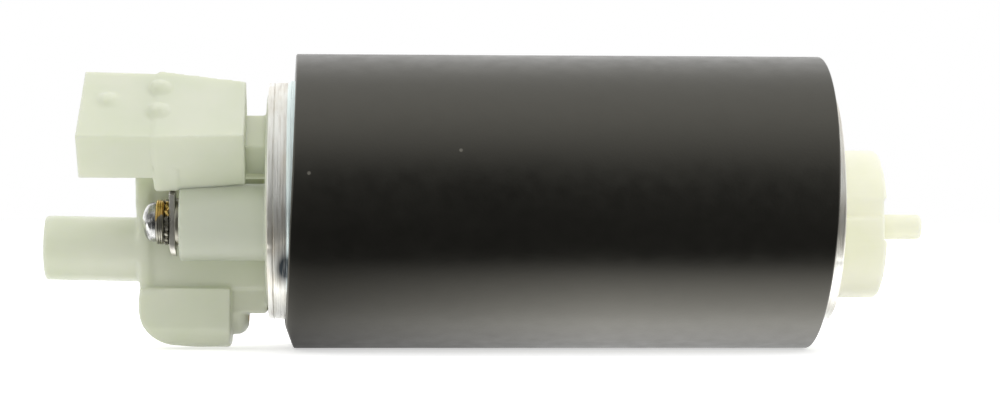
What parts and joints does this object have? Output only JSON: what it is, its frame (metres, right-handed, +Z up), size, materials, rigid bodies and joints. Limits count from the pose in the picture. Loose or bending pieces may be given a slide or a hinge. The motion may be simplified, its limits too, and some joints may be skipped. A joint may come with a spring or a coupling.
{
  "type": "electric fuel pump",
  "caption": "In-tank turbine fuel pump: a crimped steel motor can in a rubber sleeve, a moulded outlet cap with a plain tube and a leaning connector, and an inlet collar.",
  "frame": {"origin": "on the pump's axis at the middle of the rubber sleeve", "axes": "+X along the axis from the outlet to the inlet, +Z up as the pump lies on its side in the picture, and +Y away from the camera"},
  "size_m": [0.1406, 0.0474, 0.0474],
  "materials": {
    "sleeve_rubber": "matte black moulded rubber with a faint satin sheen",
    "can_steel": "bright zinc-plated steel, brushed round the axis at the rolled ends",
    "natural_nylon": "natural translucent moulded nylon, greenish cream",
    "inlet_nylon": "natural translucent moulded nylon, warm cream",
    "terminal_tin": "bright tinned brass strip",
    "screw_steel": "bright plated steel",
    "washer_steel": "plated steel, dull",
    "spring_steel": "drawn stainless wire",
    "insert_brass": "turned brass",
    "bush_bronze": "sintered bronze, matte",
    "brush_carbon": "pressed carbon, matte",
    "lead_copper": "braided copper",
    "winding_copper": "varnished copper wire",
    "segment_copper": "machined copper",
    "base_phenolic": "moulded phenolic, dark brown",
    "core_steel": "stacked blued laminations",
    "magnet_ferrite": "ground ferrite, dark grey",
    "ring_steel": "rolled steel strip",
    "clip_steel": "blued spring strip",
    "seal_rubber": "soft black rubber",
    "plate_aluminium": "hard anodised die casting",
    "impeller_resin": "moulded resin, brown",
    "shaft_steel": "ground steel",
    "valve_acetal": "moulded acetal, white"
  },
  "bodies": {
    "pump_body": {"cap_seal": "seal_rubber", "check_valve_cage": "valve_acetal", "check_valve_spring": "spring_steel", "connector_housing": "natural_nylon", "cover_seal": "seal_rubber", "flux_ring": "ring_steel", "front_brush_lead": "lead_copper", "front_brush_spring": "spring_steel", "front_brush_tube": "insert_brass", "front_seat_washer": "washer_steel", "front_spring_washer": "washer_steel", "front_terminal": "terminal_tin", "front_terminal_insert": "insert_brass", "front_terminal_screw": "screw_steel", "front_toothed_washer": "washer_steel", "inlet_cover": "inlet_nylon", "inlet_plate": "plate_aluminium", "isolator_sleeve": "sleeve_rubber", "lower_bush": "bush_bronze", "lower_magnet": "magnet_ferrite", "magnet_clips": "clip_steel", "motor_can": "can_steel", "outlet_cap": "natural_nylon", "outlet_plate": "plate_aluminium", "pump_ring": "plate_aluminium", "rear_brush_lead": "lead_copper", "rear_brush_spring": "spring_steel", "rear_brush_tube": "insert_brass", "rear_seat_washer": "washer_steel", "rear_spring_washer": "washer_steel", "rear_terminal": "terminal_tin", "rear_terminal_insert": "insert_brass", "rear_terminal_screw": "screw_steel", "rear_toothed_washer": "washer_steel", "relief_plug": "insert_brass", "relief_spring": "spring_steel", "thrust_pad": "shaft_steel", "upper_bush": "bush_bronze", "upper_magnet": "magnet_ferrite"},
    "rotor": {"rotor_shaft": "shaft_steel", "armature_core": "core_steel", "windings": "winding_copper", "commutator_segments": "segment_copper", "commutator_base": "base_phenolic", "impeller": "impeller_resin"},
    "front_brush": {"front_brush": "brush_carbon"},
    "rear_brush": {"rear_brush": "brush_carbon"},
    "check_valve": {"check_valve_poppet": "valve_acetal", "check_valve_seal": "seal_rubber"},
    "relief_ball": {"relief_ball": "shaft_steel"}
  },
  "joints": [
    {"name": "rotor_spin", "type": "hinge", "parent": "pump_body", "child": "rotor", "pos_m": [0, 0, 0], "axis": [1, 0, 0], "continuous": true},
    {"name": "front_brush_lift", "type": "slide", "parent": "pump_body", "child": "front_brush", "axis": [-1, 0, 0], "range_m": [0, 0.003], "stiffness_N_per_m": 200, "springref_m": -0.006, "deforming": ["front_brush_spring", "front_brush_lead"]},
    {"name": "rear_brush_lift", "type": "slide", "parent": "pump_body", "child": "rear_brush", "axis": [-1, 0, 0], "range_m": [0, 0.003], "stiffness_N_per_m": 200, "springref_m": -0.006, "deforming": ["rear_brush_spring", "rear_brush_lead"]},
    {"name": "check_valve_lift", "type": "slide", "parent": "pump_body", "child": "check_valve", "axis": [-1, 0, 0], "range_m": [0, 0.002], "stiffness_N_per_m": 120, "springref_m": -0.002, "deforming": ["check_valve_spring"]},
    {"name": "relief_valve_lift", "type": "slide", "parent": "pump_body", "child": "relief_ball", "axis": [1, 0, 0], "range_m": [0, 0.0015], "stiffness_N_per_m": 800, "springref_m": -0.002, "deforming": ["relief_spring"]}
  ]
}
